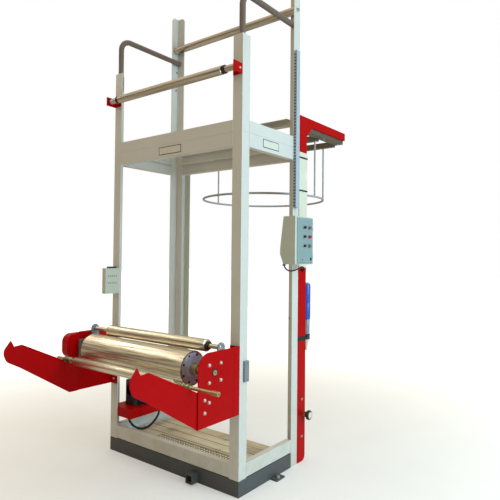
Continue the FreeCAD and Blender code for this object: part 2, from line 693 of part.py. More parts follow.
def make_rear_frame():
    """Uprights behind the rear columns, the arms they carry, and the bubble guide under the arms."""
    outline = [
        (0, 0), (s.upright_depth, 0), (s.upright_depth, s.upright_top), (0, s.upright_top),
    ]
    shell = profile("rear_upright_shell", "YZ_Plane", outline, s.upright_width,
                    (half - s.upright_width, depth, 0), [([(s.upright_depth, 0)], s.upright_round)])
    edge = s.upright_wall
    hollow = block("rear_upright_hollow", (half - s.upright_width - PAST, half - edge),
                   (depth + edge, upright_end - edge), (s.upright_round, arm_low - edge))
    right = cut("rear_upright_right", shell, hollow)
    group("rear_uprights", right, mirror("rear_upright_left", right))
    outer = block("rear_arm_outer", (half - s.arm_tube, half), (upright_end, s.arm_end), (arm_low, s.upright_top))
    gusset = profile("rear_arm_gusset", "YZ_Plane", [(0, 0), (s.gusset, 0), (0, -s.gusset)], s.gusset_wall,
                     (half - s.gusset_wall, upright_end, arm_low))
    right = fuse("rear_arm_right", outer, gusset)
    group("rear_arms", right, mirror("rear_arm_left", right))
    low = s.back_beam_top - s.back_beam_height
    profile("back_beam", "YZ_Plane", channel_section(s.back_beam_height, s.back_beam_depth, s.rail_wall, -1),
            s.frame_width - 2 * leg, (leg - half, depth, low))


def make_bubble_guide():
    """Rails and cross beams under the arms, with the guide ring on its rods."""
    rail_low = arm_low - s.rail_height
    out = half - s.rail_inset
    rail = profile("guide_rail_right", "XZ_Plane", [
        (0, 0), (s.rail_width, 0), (s.rail_width, s.rail_height), (s.rail_width - s.rail_wall, s.rail_height),
        (s.rail_width - s.rail_wall, s.rail_wall), (0, s.rail_wall),
    ], s.arm_end - upright_end, (out - s.rail_width, upright_end, rail_low))
    group("guide_rails", rail, mirror("guide_rail_left", rail))
    span = out - s.rail_width
    beams = []
    thick = s.cross_beam
    middle = s.cross_beam_middle - thick / 2
    beam_low = arm_low - thick
    for name, y in (("guide_beam_rear", s.arm_end - thick), ("guide_beam_middle", middle)):
        beams.append(block(name, (-span, span), (y, y + thick), (beam_low, arm_low)))
    group("guide_beams", *beams)
    ring_height = beam_low - s.guide_rod_length
    ring = doc.addObject("Part::Torus", "guide_ring_bar")
    bind(ring, "Radius1", ring_radius)
    bind(ring, "Radius2", s.guide_ring_bar / 2)
    place(ring, 0, s.cross_beam_middle, ring_height)
    rear_y = s.arm_end - thick / 2
    reach = rear_y - s.cross_beam_middle
    rear_x = (ring_radius * ring_radius - reach * reach).root()
    rods = []
    for index, (x, y) in enumerate(((ring_radius, s.cross_beam_middle), (-ring_radius, s.cross_beam_middle),
                                    (rear_x, rear_y), (-rear_x, rear_y))):
        rods.append(bar("guide_rod_%d" % index, (x, y, ring_height), s.guide_rod_length, s.guide_rod))
    fuse("bubble_guide", ring, *rods)


def make_control_box():
    """The operator's box on the right rear column, with its two rows of knobs."""
    chamfer = s.box_chamfer
    outline = [
        (chamfer, 0), (0, s.box_foot), (0, s.box_foot + s.box_bulge), (chamfer, s.box_height),
        (s.box_depth, s.box_height), (s.box_depth, 0),
    ]
    profile("control_box", "XZ_Plane", outline, s.box_length, (half, s.box_front, s.box_bottom))
    top = s.box_bottom + s.box_height - s.knob_top_drop
    middle = s.box_front + s.knob_middle
    knobs = []
    for row in range(SIZES["knob_rows"]):
        for side, name in ((-1, "front"), (1, "rear")):
            spot = (box_end, middle + side * s.knob_pitch / 2, top - row * s.knob_rise)
            knobs.append(bar("knob_%d_%s" % (row, name), spot, s.knob_reach, s.knob, ALONG_X))
    group("control_knobs", *knobs)


def make_fittings():
    """The junction box, wiring duct, air filter, valve and latch."""
    width = s.junction_width
    height = s.junction_height
    profile("junction_box", "YZ_Plane", [(-width, 0), (0, 0), (0, height), (-width, height)], s.junction_depth,
            (leg - half - s.junction_depth, 0, s.junction_top - height),
            [([(-width, 0), (-width, height)], s.junction_round)])

    start = depth - leg
    duct_low = s.box_bottom + s.box_height + s.duct_over_box
    duct_high = duct_low + s.duct_length
    duct_wall = s.duct_wall
    shell = block("duct_shell", (half, half + s.duct_width), (start, start + s.duct_depth), (duct_low, duct_high))
    bore = block("duct_bore", (half + duct_wall, half + s.duct_width - duct_wall),
                 (start + duct_wall, start + s.duct_depth - duct_wall), (duct_low - PAST, duct_high + PAST))
    cut("wiring_duct", shell, bore)

    x = half - s.upright_width / 2
    y = upright_end + s.filter_gap + s.filter_size / 2
    clamp = s.filter_cone_height
    bowl = clamp + s.filter_clamp_height
    head = bowl + s.filter_bowl_height
    cap = head + s.filter_height
    top = cap + s.filter_cap_height
    housing = turned("filter_housing", [
        (0, s.filter_cone_end / 2), (clamp, s.filter_bowl / 2), (clamp, s.filter_clamp / 2),
        (bowl, s.filter_clamp / 2), (bowl, s.filter_bowl / 2), (head, s.filter_bowl / 2),
        (head, s.filter_size / 2), (cap, s.filter_size / 2), (top, s.filter_cap / 2),
    ], (x, y, s.filter_top - top), STANDING)
    tab = s.filter_bracket
    tab_top = s.filter_top - s.filter_bracket_drop
    bracket = block("filter_bracket", (x - tab / 2, x + tab / 2), (upright_end, y), (tab_top - tab, tab_top))
    fuse("air_filter", housing, bracket)

    dial_y = depth + s.valve_reach
    dial = bar("valve_face", (half + s.valve_body, dial_y, s.valve_height), s.valve_dial, s.valve_size, ALONG_X)
    neck = bar("valve_neck", (half, dial_y, s.valve_height), s.valve_body, s.valve_body, ALONG_X)
    fuse("pressure_valve", dial, neck)

    edge = s.latch_width / 2
    profile("column_latch", "XY_Plane", [(0, -edge), (s.latch_depth, -edge), (s.latch_depth, edge), (0, edge)],
            s.latch_height, (half, s.latch_middle, s.latch_bottom))


def make_conduits():
    """The motor's hose, looped under its shelf, and the cable from the control box into the upright."""
    length = s.gland_length
    shelf_gland = bar("shelf_gland", (-500, 42, s.shelf_top - s.shelf_wall - length), length, s.gland)
    gear_side = wall - half + s.shelf_width / 2 + s.gearbox_size / 2
    motor_gland = bar("motor_gland", (gear_side, 140, 372), length, s.gland, ALONG_X)
    group("hose_glands", shelf_gland, motor_gland)
    cord("motor_hose", [
        (-500, 42, 331), (-500, 42, 228), (-325, 70, 192), (-205, 125, 345), (-300, 145, 415), (-385, 140, 372),
        (-460, 140, 372),
    ], s.hose)
    length = s.small_gland_length
    box_gland = bar("box_gland", (684, 458, s.box_bottom - length), length, s.small_gland)
    upright_gland = bar("upright_gland", (half, 747, 1441), length, s.small_gland, ALONG_X)
    group("cable_glands", box_gland, upright_gland)
    cord("box_cable", [
        (684, 462, 1474.5), (685, 490, 1441), (688, 600, 1441), (702, 700, 1482), (672, 742, 1446),
    ], s.cable)


make_base()
make_deck()
make_columns()
make_rings()
make_posts()
make_guard_tubes()
make_guide_roller()
make_top_roller()
make_winder_plates()
make_winder_arms()
make_drum()
make_lay_on_roller()
make_spindle()
make_drive()
make_rear_frame()
make_bubble_guide()
make_control_box()
make_fittings()
make_conduits()
doc.recompute()

# Every node of the machine, in the order it goes together
NODES = [
    "base_frame", "base_socket", "anchor_lugs", "deck", "tread_plate", "front_columns", "rear_columns",
    "bottom_rail_front", "bottom_rail_sides", "lower_header_front", "lower_header_rear",
    "lower_header_sides", "upper_header_front", "upper_header_rear", "upper_header_sides",
    "front_posts", "rear_posts", "guard_tubes", "guide_roller", "guide_blocks", "top_roller",
    "winder_plate_right", "winder_plate_left", "winder_arm_right", "winder_arm_left", "winding_drum",
    "drum_bearings", "lay_on_roller", "lay_on_brackets", "winding_spindle", "spindle_rings",
    "drive_guard", "motor_shelf", "drive_motor", "rear_uprights", "rear_arms", "back_beam",
    "guide_rails", "guide_beams", "bubble_guide", "control_box", "control_knobs", "junction_box",
    "wiring_duct", "air_filter", "pressure_valve", "column_latch", "motor_hose", "hose_glands",
    "box_cable", "cable_glands",
]

for item in doc.Objects:
    if "Invalid" in item.State or "Error" in item.State:
        raise RuntimeError("%s failed: %s" % (item.Label, item.State))
os.makedirs("parts", exist_ok=True)
for node in NODES:
    shape = doc.getObject(node).Shape
    if shape.isNull() or not shape.isValid():
        raise RuntimeError("%s has no valid shape" % node)
    shape.exportStep("parts/%s.step" % node)
    box = shape.BoundBox
    print("%-20s %3d solids %12.0f mm3  x %7.1f %7.1f  y %7.1f %7.1f  z %7.1f %7.1f" % (
        node, len(shape.Solids), shape.Volume, box.XMin, box.XMax, box.YMin, box.YMax, box.ZMin, box.ZMax))
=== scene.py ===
import bmesh
import bpy
import math
import numpy as np
from mathutils import Matrix, Vector


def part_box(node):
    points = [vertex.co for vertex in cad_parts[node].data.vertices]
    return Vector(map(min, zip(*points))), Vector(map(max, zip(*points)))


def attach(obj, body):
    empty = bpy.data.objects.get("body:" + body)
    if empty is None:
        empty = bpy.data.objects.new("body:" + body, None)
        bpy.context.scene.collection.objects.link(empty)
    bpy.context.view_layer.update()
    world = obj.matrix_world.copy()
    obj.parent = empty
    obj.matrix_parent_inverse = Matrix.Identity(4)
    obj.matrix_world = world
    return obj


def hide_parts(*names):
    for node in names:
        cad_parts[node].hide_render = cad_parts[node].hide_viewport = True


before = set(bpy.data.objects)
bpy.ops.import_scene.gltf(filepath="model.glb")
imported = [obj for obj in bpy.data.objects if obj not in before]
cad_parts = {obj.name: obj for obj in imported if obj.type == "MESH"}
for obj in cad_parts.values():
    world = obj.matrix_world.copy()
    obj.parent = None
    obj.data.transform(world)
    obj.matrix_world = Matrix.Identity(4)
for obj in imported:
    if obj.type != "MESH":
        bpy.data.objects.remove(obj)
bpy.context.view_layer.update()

# The place it stands in
# A pale floor, a large soft window of light on the operator's right, a warm fill in front,
# and the photographer's eye, measured from the foot of the front right column.
columns_low, columns_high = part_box("front_columns")
FRONT = columns_low.y
LEFT, RIGHT = columns_low.x, columns_high.x
MIDDLE = (LEFT + RIGHT) / 2
front_right_foot = Vector((RIGHT, FRONT, 0))
EYE = front_right_foot + Vector((2.030, -2.533, 1.543))
YAW, PITCH, ROLL = math.radians(37.70), math.radians(1.23), math.radians(0.57)
IMAGE = 500
FOCAL = 504.5
CENTRE = (249.8, 245.6)

ahead = Vector((-math.sin(YAW) * math.cos(PITCH), math.cos(YAW) * math.cos(PITCH), math.sin(PITCH)))
level = Vector((math.cos(YAW), math.sin(YAW), 0))
upward = level.cross(ahead)
across = math.cos(ROLL) * level + math.sin(ROLL) * upward
upward = math.cos(ROLL) * upward - math.sin(ROLL) * level
eye = bpy.data.cameras.new("eye")
eye.sensor_width = 36
eye.lens = FOCAL * eye.sensor_width / IMAGE
eye.shift_x = (IMAGE / 2 - CENTRE[0]) / IMAGE
eye.shift_y = (CENTRE[1] - IMAGE / 2) / IMAGE
eye.clip_end = 200
camera = bpy.data.objects.new("eye", eye)
turn = Matrix((across, upward, -ahead)).transposed().to_4x4()
camera.matrix_world = Matrix.Translation(EYE) @ turn
bpy.context.scene.collection.objects.link(camera)
bpy.context.scene.camera = camera


class Wire:
    """One socket of a material; written in an expression, each operator adds its Math node."""

    def __init__(self, finish, socket):
        self.finish = finish
        self.socket = socket

    def math(self, operation, *others):
        return self.finish.node("ShaderNodeMath", {"operation": operation}, self, *others)

    def __add__(self, other):
        return self.math("ADD", other)

    def __mul__(self, other):
        return self.math("MULTIPLY", other)

    def __rsub__(self, other):
        return self.finish.node("ShaderNodeMath", {"operation": "SUBTRACT"}, other, self)

    __radd__ = __add__
    __rmul__ = __mul__

    def over(self, start, end):
        """0 below start, 1 above end, smooth between."""
        return self.finish.node("ShaderNodeMapRange", {"interpolation_type": "SMOOTHSTEP"}, self, start, end)


class Finish:
    """A material whose nodes are written as expressions."""

    def __init__(self, name):
        self.material = bpy.data.materials.new(name)
        self.material.use_nodes = True
        self.tree = self.material.node_tree
        self.shader = self.tree.nodes["Principled BSDF"]
        self.place = self.node("ShaderNodeTexCoord", {}, out="Object")

    def node(self, kind, settings, *values, out=0, **named):
        """Adds a node: its settings first, then the values or wires of its sockets, by place or by name."""
        node = self.tree.nodes.new(kind)
        for key, value in settings.items():
            setattr(node, key, value)
        for key, value in list(enumerate(values)) + [(k.replace("_", " "), v) for k, v in named.items()]:
            if isinstance(value, Wire):
                self.tree.links.new(value.socket, node.inputs[key])
            elif value is not None:
                node.inputs[key].default_value = value
        return Wire(self, node.outputs[out])

    def axes(self):
        """The three coordinates of the place, in metres."""
        split = self.node("ShaderNodeSeparateXYZ", {}, self.place)
        return [Wire(self, socket) for socket in split.socket.node.outputs]

    def grain(self, scale, detail=3, stretch=(1, 1, 1), rough=0.55):
        """Cloudy noise; scale is in waves a metre, stretch squeezes it along an axis."""
        place = self.node("ShaderNodeMapping", {}, self.place, Scale=stretch)
        return self.node("ShaderNodeTexNoise", {}, place, Scale=scale, Detail=detail, Roughness=rough)

    def mix(self, amount, first, second):
        """Goes from the first colour to the second."""
        node = self.tree.nodes.new("ShaderNodeMix")
        node.data_type = "RGBA"
        for key, value in ((0, amount), (6, first), (7, second)):
            if isinstance(value, Wire):
                self.tree.links.new(value.socket, node.inputs[key])
            else:
                node.inputs[key].default_value = value
        return Wire(self, node.outputs[2])

    def bump(self, height, depth):
        """Dents the surface by a height between 0 and 1 times a depth in metres."""
        return self.node("ShaderNodeBump", {}, Strength=1.0, Distance=depth, Height=height)

    def set(self, **sockets):
        """Puts values or wires on the shader's own sockets."""
        for key, value in sockets.items():
            socket = self.shader.inputs[key.replace("_", " ")]
            if isinstance(value, Wire):
                self.tree.links.new(value.socket, socket)
            else:
                socket.default_value = value
        return self.material


def rgb(red, green, blue):
    """A screen colour, 0 to 255, as the linear colour that a shader takes."""
    parts = np.array((red, green, blue)) / 255
    parts = np.where(parts <= 0.04045, parts / 12.92, ((parts + 0.055) / 1.055) ** 2.4)
    return (*parts.tolist(), 1.0)


def grid_faces(rows, columns, wrap, capped):
    """The faces between neighbouring points of a grid, rows by columns; wrap joins the last column to the
    first, and capped closes the first and last rows."""
    index = np.arange(rows * columns).reshape(rows, columns)
    after = np.roll(index, -1, axis=1) if wrap else index[:, 1:]
    before = index if wrap else index[:, :-1]
    faces = np.stack((before[:-1], after[:-1], after[1:], before[1:]), axis=-1).reshape(-1, 4).tolist()
    if capped:
        faces += [index[0, ::-1].tolist(), index[-1].tolist()]
    return faces


def made(name, points, faces, material=None, smooth_below=40, body="root"):
    """A piece from points and faces that point outwards, soft where they turn by less than smooth_below degrees."""
    mesh = bpy.data.meshes.new(name)
    mesh.from_pydata(np.asarray(points).reshape(-1, 3).tolist(), [], faces)
    shape = bmesh.new()
    shape.from_mesh(mesh)
    bmesh.ops.recalc_face_normals(shape, faces=shape.faces)
    shape.to_mesh(mesh)
    shape.free()
    mesh.polygons.foreach_set("use_smooth", np.ones(len(mesh.polygons), bool))
    mesh.set_sharp_from_angle(angle=math.radians(smooth_below))
    piece = bpy.data.objects.new(name, mesh)
    bpy.context.scene.collection.objects.link(piece)
    if material:
        mesh.materials.append(material)
        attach(piece, body)
    return piece


FLOOR = 40.0
corners = np.array([[(x, y, 0.0) for x in (-FLOOR, FLOOR)] for y in (-FLOOR, FLOOR)])
floor = made("floor", corners, grid_faces(2, 2, False, False))
pale = Finish("studio_floor")
speckle = pale.grain(3.0, detail=5)
distance = pale.node("ShaderNodeVectorMath", {"operation": "LENGTH"}, pale.place, out=1)
haze = (0.3 + 0.7 * distance.over(0.9, 6.0)) * pale.node("ShaderNodeLightPath", {})
pale.set(Base_Color=pale.mix(speckle, rgb(204, 203, 200), rgb(212, 211, 208)), Roughness=0.75,
         Emission_Color=pale.mix(haze, (0, 0, 0, 1), (1, 1, 1, 1)), Emission_Strength=0.9)
floor.data.materials.append(pale.material)

bpy.context.scene.view_settings.view_transform = "Standard"
world = bpy.data.worlds.new("studio")
bpy.context.scene.world = world
world.use_nodes = True
soft = world.node_tree.nodes["Background"]
soft.inputs["Color"].default_value = (1.0, 0.90, 0.70, 1)
gaze = world.node_tree.nodes.new("ShaderNodeTexCoord")
split = world.node_tree.nodes.new("ShaderNodeSeparateXYZ")
sky = world.node_tree.nodes.new("ShaderNodeMapRange")
for key, value in (("From Min", 0.05), ("From Max", 0.65), ("To Min", 0.17), ("To Max", 0.80)):
    sky.inputs[key].default_value = value
seen_white = world.node_tree.nodes.new("ShaderNodeBackground")
seen_white.inputs["Color"].default_value = (1, 1, 1, 1)
path = world.node_tree.nodes.new("ShaderNodeLightPath")
either = world.node_tree.nodes.new("ShaderNodeMixShader")
for start, end in (
    (gaze.outputs["Generated"], split.inputs[0]),
    (split.outputs["Z"], sky.inputs["Value"]),
    (sky.outputs[0], soft.inputs["Strength"]),
    (path.outputs["Is Camera Ray"], either.inputs[0]),
    (soft.outputs[0], either.inputs[1]),
    (seen_white.outputs[0], either.inputs[2]),
    (either.outputs[0], world.node_tree.nodes["World Output"].inputs["Surface"]),
):
    world.node_tree.links.new(start, end)
for name, place, aim, size, length, power, tint in (
    ("window", (5.4, 0.3, 2.5), (0, 0, 1.4), 3.2, 3.2, 265, (0.52, 0.81, 1.0)),
    ("fill", (-0.6, -5.0, 4.4), (0, 0, 2.0), 3.0, 3.0, 7, (1.0, 0.86, 0.64)),
    ("strip", (-4.3, -1.15, 4.4), (0, -0.65, 0.85), 3.6, 0.35, 24, (1.0, 0.95, 0.86)),
):
    lamp = bpy.data.lights.new(name, "AREA")
    lamp.shape = "RECTANGLE"
    lamp.size = size
    lamp.size_y = length
    lamp.energy = power
    lamp.color = tint
    source = bpy.data.objects.new(name, lamp)
    source.location = place
    source.rotation_euler = (Vector(aim) - Vector(place)).to_track_quat("-Z", "Y").to_euler()
    bpy.context.scene.collection.objects.link(source)


def enamel(name, tone, shade, bare, gloss=0.36, wear=0.5, dust=None):
    """Sprayed machine paint: a cloudy tone, rain of faint runs down the steel, scuffs to the undercoat,
    a fine orange peel, and dust that lies thicker towards the floor."""
    paint = Finish(name)
    height = paint.axes()[2]
    cloud = paint.grain(2.2, detail=6)
    runs = paint.grain(26, detail=4, stretch=(1, 1, 0.05)).over(0.55, 0.78)
    scuffs = paint.grain(34, detail=8, rough=0.7, stretch=(1, 1, 0.45)).over(0.69 - 0.06 * wear, 0.72)
    colour = paint.mix(cloud, shade, tone)
    colour = paint.mix(runs * (0.35 * wear), colour, shade)
    if dust:
        low = (1 - height.over(0.02, 0.75)) * paint.grain(11, detail=6).over(0.35, 0.7)
        colour = paint.mix(low * 0.3, colour, dust)
    colour = paint.mix(scuffs * (0.7 * wear), colour, bare)
    peel = paint.grain(300, detail=2)
    paint.set(Base_Color=colour, Roughness=gloss + 0.18 * runs + 0.25 * scuffs, Normal=paint.bump(peel, 0.00025))
    return paint


def softened(node, width, material):
    """The CAD node's own shape with its doubled corners merged, its flat faces made whole and its edges
    rounded by a width in metres."""
    shape = bmesh.new()
    shape.from_mesh(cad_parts[node].data)
    bmesh.ops.remove_doubles(shape, verts=shape.verts, dist=1e-5)
    bmesh.ops.dissolve_limit(shape, angle_limit=math.radians(0.5), verts=shape.verts, edges=shape.edges)
    mesh = bpy.data.meshes.new(node + "_rounded")
    shape.to_mesh(mesh)
    shape.free()
    mesh.polygons.foreach_set("use_smooth", np.ones(len(mesh.polygons), bool))
    mesh.set_sharp_from_angle(angle=math.radians(40))
    piece = bpy.data.objects.new(node + "_rounded", mesh)
    bpy.context.scene.collection.objects.link(piece)
    mesh.materials.clear()
    mesh.materials.append(material)
    rim = piece.modifiers.new("rim", "BEVEL")
    rim.width = width
    rim.segments = 2
    rim.limit_method = "ANGLE"
    rim.angle_limit = math.radians(35)
    rim.harden_normals = True
    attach(piece, "root")
    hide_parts(node)
    return piece


def at(x, y, z):
    """A place in metres, from millimetres: x across from the frame's middle, y back from its front and z up
    from the floor."""
    return np.array((MIDDLE + x / 1000, FRONT + y / 1000, z / 1000))


ORDER = {"x": (0, 1, 2), "y": (1, 2, 0), "z": (2, 0, 1)}


def turned(stations, centre, axis="x", sides=64):
    """Rings round an axis: the point at angle a of a station (s, r), in millimetres, is the centre plus s along
    the axis plus r times (cos a, sin a) across it."""
    along, radius = (np.array(stations, float) / 1000).T
    angle = np.linspace(0, 2 * np.pi, sides, endpoint=False)
    grid = np.empty((len(along), sides, 3))
    out, first, second = ORDER[axis]
    grid[..., out] = along[:, None]
    grid[..., first] = radius[:, None] * np.cos(angle)
    grid[..., second] = radius[:, None] * np.sin(angle)
    return grid + centre


def bolt(spot, axis, size, sign=1):
    """A washer and a hexagon head that stand on a spot, the head 0.65 of the thread's size high."""
    washer = [(0, 1.05), (0.1, 1.05), (0.16, 0.98), (0.16, 0.6)]
    head = [(0.1, 0.9), (0.7, 0.93), (0.8, 0.8), (0.82, 0.4)]
    scale = np.array((size * sign, size))
    return [turned(np.array(washer) * scale, spot, axis, 20), turned(np.array(head) * scale, spot, axis, 6)]


def joined(name, grids, material, body="root", smooth_below=40, replaces=()):
    """One piece from closed grids of points; each grid wraps round and is capped at both ends."""
    faces, start = [], 0
    for grid in grids:
        rows, columns = grid.shape[:2]
        faces += [[index + start for index in face] for face in grid_faces(rows, columns, True, True)]
        start += rows * columns
    points = np.concatenate([grid.reshape(-1, 3) for grid in grids])
    piece = made(name, points, faces, material, smooth_below, body)
    if replaces:
        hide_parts(*replaces)
    return piece


slate = enamel("slate_enamel", rgb(84, 86, 88), rgb(70, 70, 68), rgb(126, 118, 100), gloss=0.45, wear=0.5)
for node in ("base_frame", "base_socket", "anchor_lugs"):
    softened(node, 0.002, slate.material)
zinc = Finish("zinc_plate")
spangle = zinc.grain(160, detail=4)
zinc.set(Base_Color=zinc.mix(spangle, rgb(150, 150, 146), rgb(206, 204, 196)), Metallic=0.9,
         Roughness=0.3 + 0.25 * spangle)
anchors = [grid for x in (-688, 688) for grid in bolt(at(x, 398, 12), "z", 16)]
joined("anchor_bolts", anchors, zinc.material)

# Deck
# Pine boards laid across the floor frame, worn by boots; a dark sheet under them shows in the seams as painted shade.


def slab(low, high, axis="y", corner=3.0, edge=1.0):
    """Loops of a rounded rectangle carried along an axis; towards each end a loop shrinks by the quarter circle
    of the edge: shrink = edge * (1 - sin t), depth = edge * (1 - cos t). A last loop inside keeps the ends flat."""
    order = list(ORDER[axis])
    low, high = np.minimum(low, high)[order], np.maximum(low, high)[order]
    edge, corner = edge / 1000, max(corner, edge) / 1000
    turn = np.radians((0, 0, 30, 60, 90))
    depth, shrink = edge * (1 - np.cos(turn)), edge * (1 - np.sin(turn))
    along = np.concatenate((low[0] + depth, high[0] - depth[::-1]))
    radius = corner - np.concatenate((shrink, shrink[::-1]))
    inset = np.zeros(len(along))
    inset[[0, -1]] = 0.0003
    quarter = np.radians(np.linspace(0, 90, 6))
    angle = (quarter + np.radians(90) * np.arange(4)[:, None]).ravel()
    side_u = np.repeat((1, -1, -1, 1), 6)
    side_v = np.repeat((1, 1, -1, -1), 6)
    middle = (low + high) / 2
    half = (high - low)[:, None, None] / 2 - corner - inset[:, None]
    grid = np.empty((len(along), len(angle), 3))
    grid[..., order[0]] = along[:, None]
    grid[..., order[1]] = middle[1] + side_u * half[1] + radius[:, None] * np.cos(angle)
    grid[..., order[2]] = middle[2] + side_v * half[2] + radius[:, None] * np.sin(angle)
    return grid


pine = Finish("pine_boards")
warp = pine.grain(3, detail=3)
fibre = pine.grain(70, detail=7, stretch=(0.035, 1, 1), rough=0.65)
rings = pine.grain(16, detail=3, stretch=(0.12, 1, 1)).over(0.42, 0.62)
rays = pine.node("ShaderNodeTexVoronoi", {}, pine.place, Scale=7.0, Randomness=1.0)
knots = (1 - rays.over(0.03, 0.09)) * warp.over(0.45, 0.6)
wood = pine.mix(rings * 0.6, rgb(214, 201, 174), rgb(190, 170, 136))
wood = pine.mix(fibre.over(0.45, 0.8) * 0.6, wood, rgb(156, 136, 108))
wood = pine.mix(knots, wood, rgb(96, 66, 40))
wood = pine.mix(pine.grain(6, detail=7).over(0.5, 0.75) * 0.6, wood, rgb(128, 116, 96))
pine.set(Base_Color=wood, Roughness=0.62, Normal=pine.bump(fibre, 0.0006))
BOARDS = 6
deck_low, deck_high = np.array(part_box("deck")[0]), np.array(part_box("deck")[1])
seam, inset = 0.008, 0.0085
edges = np.linspace(FRONT + inset, deck_high[1] + seam, BOARDS + 1)
boards = [
    slab(np.array((LEFT + inset, start, deck_low[2])), np.array((RIGHT - inset, end - seam, deck_high[2])),
         "x", 2.0, 1.0)
    for start, end in zip(edges, edges[1:])
]
joined("deck_boards", boards, pine.material, replaces=["deck"])
# Painted shade: a dark brown sheet 2 mm under the boards' tops, seen only through the seams, stands in for the shade
# in the gaps.
seam_shade = Finish("seam_shade_sheet")
stain = seam_shade.grain(20, detail=6)
seam_shade.set(Base_Color=seam_shade.mix(stain, rgb(104, 62, 44), rgb(70, 44, 32)), Roughness=0.8)
joined("deck_seam_shade_sheet", [slab(np.array((LEFT + inset, FRONT + inset, deck_low[2])),
                             np.array((RIGHT - inset, deck_high[1], deck_high[2] - 0.002)), "z", 2.0, 0.5)],
       seam_shade.material)

# Tread plate
# Rolled steel plate with the raised tear pattern, two sheets of it lying on the boards where the
# operator stands.
tread = Finish("tear_pattern_plate")
scrape = tread.grain(45, detail=7, rough=0.7)
grime = tread.grain(9, detail=6).over(0.4, 0.7)
low, high = [np.array(corner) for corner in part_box("tread_plate")]
THICK = 0.0035
steel = tread.mix(grime * 0.7, tread.mix(scrape, rgb(128, 112, 90), rgb(156, 140, 114)), rgb(96, 80, 60))
# The raised tops are coloured near white: partly worn bright by boots, partly a painted highlight.
worn_tops_and_highlight = tread.axes()[2].over(low[2] + THICK + 0.00005, low[2] + THICK + 0.0003)
tread.set(Base_Color=tread.mix(worn_tops_and_highlight, steel, rgb(250, 240, 214)), Metallic=0.1, Roughness=0.36 + 0.3 * scrape)
SPACING = 0.026
SECOND_SHEET = 0.36
face = low[2] + THICK
plates = [slab(low, np.array((high[0], high[1], face)), "z", 3.0, 0.6),
          slab(low - np.array((SECOND_SHEET, 0, 0)), np.array((low[0] - 0.002, high[1], face)), "z", 3.0, 0.6)]
step_x = np.arange(low[0] - SECOND_SHEET + 0.02, high[0] - 0.015, SPACING)
step_y = np.arange(low[1] + 0.018, high[1] - 0.012, SPACING)
TEAR = 0.023, 0.0055, high[2] - low[2] - THICK


def tears(centres, turn):
    """Raised lenses: at (u, v) on the unit disc the lens stands (1 - u^2 - v^2) high, long along its turn."""
    angle = np.linspace(0, 2 * np.pi, 10, endpoint=False)
    reach, angle = np.meshgrid(np.array((0.02, 0.55, 0.85, 1.0)), angle, indexing="ij")
    u, v = reach * np.cos(angle) * TEAR[0] / 2, reach * np.sin(angle) * TEAR[1]
    lens = np.stack((u * math.cos(turn) - v * math.sin(turn), u * math.sin(turn) + v * math.cos(turn),
                     (1 - reach ** 2) * TEAR[2]), axis=-1)
    return [lens + centre for centre in centres]


lattice = np.array([(x, y, low[2] + THICK - 0.0001) for x in step_x for y in step_y])
odd = (np.arange(len(lattice)) // len(step_y) + np.arange(len(lattice)) % len(step_y)) % 2 == 1
plates += tears(lattice[odd], math.radians(45)) + tears(lattice[~odd], math.radians(-45))
joined("tread", plates, tread.material, smooth_below=60, replaces=["tread_plate"])

# Columns, posts and the bottom rail
# Hot rolled angle, welded and sprayed pebble beige; four columns, two short posts in front and two
# tall ones behind, with a channel round the deck.
beige = enamel("beige_enamel", rgb(218, 215, 208), rgb(203, 198, 188), rgb(146, 130, 106), gloss=0.36, wear=0.4,
               dust=rgb(178, 164, 136))
for node in ("front_columns", "rear_columns", "bottom_rail_front", "bottom_rail_sides", "front_posts", "rear_posts"):
    softened(node, 0.0015, beige.material)

# Header rings
# Two rings of channel, one on the other, tie the columns' tops; the seam between them shows all round,
# and a bare label plate is fixed to the front and to the right side.
for side in ("front", "rear", "sides"):
    softened("lower_header_" + side, 0.002, beige.material)
    softened("upper_header_" + side, 0.002, beige.material)
blank = Finish("label_plate")
smear = blank.grain(70, detail=6)
blank.set(Base_Color=blank.mix(smear, rgb(232, 228, 214), rgb(196, 190, 172)), Roughness=0.4 + 0.2 * smear)
borders = [slab(at(-132, -0.8, 2284), at(99, 0.5, 2342), "y", 3, 0.2),
           slab(at(655.5, 231, 2290), at(656.8, 419, 2348), "x", 3, 0.2)]
labels = [slab(at(-127, -1.4, 2289), at(94, 0, 2337), "y", 2, 0.3),
          slab(at(656, 236, 2295), at(657.4, 414, 2343), "x", 2, 0.3)]
joined("label_plates", labels, blank.material)
black = Finish("black_plug")
mould = black.grain(200, detail=3)
black.set(Base_Color=black.mix(mould, rgb(24, 22, 20), rgb(44, 40, 36)), Roughness=0.5 + 0.2 * mould)
joined("label_borders", borders, black.material)
plugs = [turned([(0, 8), (0.8, 7.5), (0.8, 5), (0.2, 4)], at(*spot), "x", 24)
         for spot in ((-648, 667, 3212), (-648, 659, 3047), (656, 571, 1096))]
joined("post_plugs", plugs, black.material)

# Welds
# Beads of steel laid by hand where the bottom rail and the two header rings meet the columns, ground
# nowhere and painted over with the frame.


def bead(start, end, side):
    """A bead from start to end: a round of 3.2 mm, flattened to 0.7 across its run, whose radius swells as
    1 + 0.12 sin(2 pi s / 4.2 mm) and tapers at both ends."""
    length = np.linalg.norm(end - start)
    along = np.linspace(0, 1, int(length / 0.0013) + 2)
    taper = np.minimum(1, 12 * np.minimum(along, 1 - along) + 0.35)
    radius = 0.0032 * (1 + 0.12 * np.sin(2 * np.pi * along * length / 0.0042)) * taper
    angle = np.linspace(0, 2 * np.pi, 9, endpoint=False)
    run = (end - start) / length
    out = np.cross(run, side)
    across_run = np.cos(angle)[:, None] * np.array(side, float) + 0.7 * np.sin(angle)[:, None] * out
    return start + along[:, None, None] * (end - start) + radius[:, None, None] * across_run


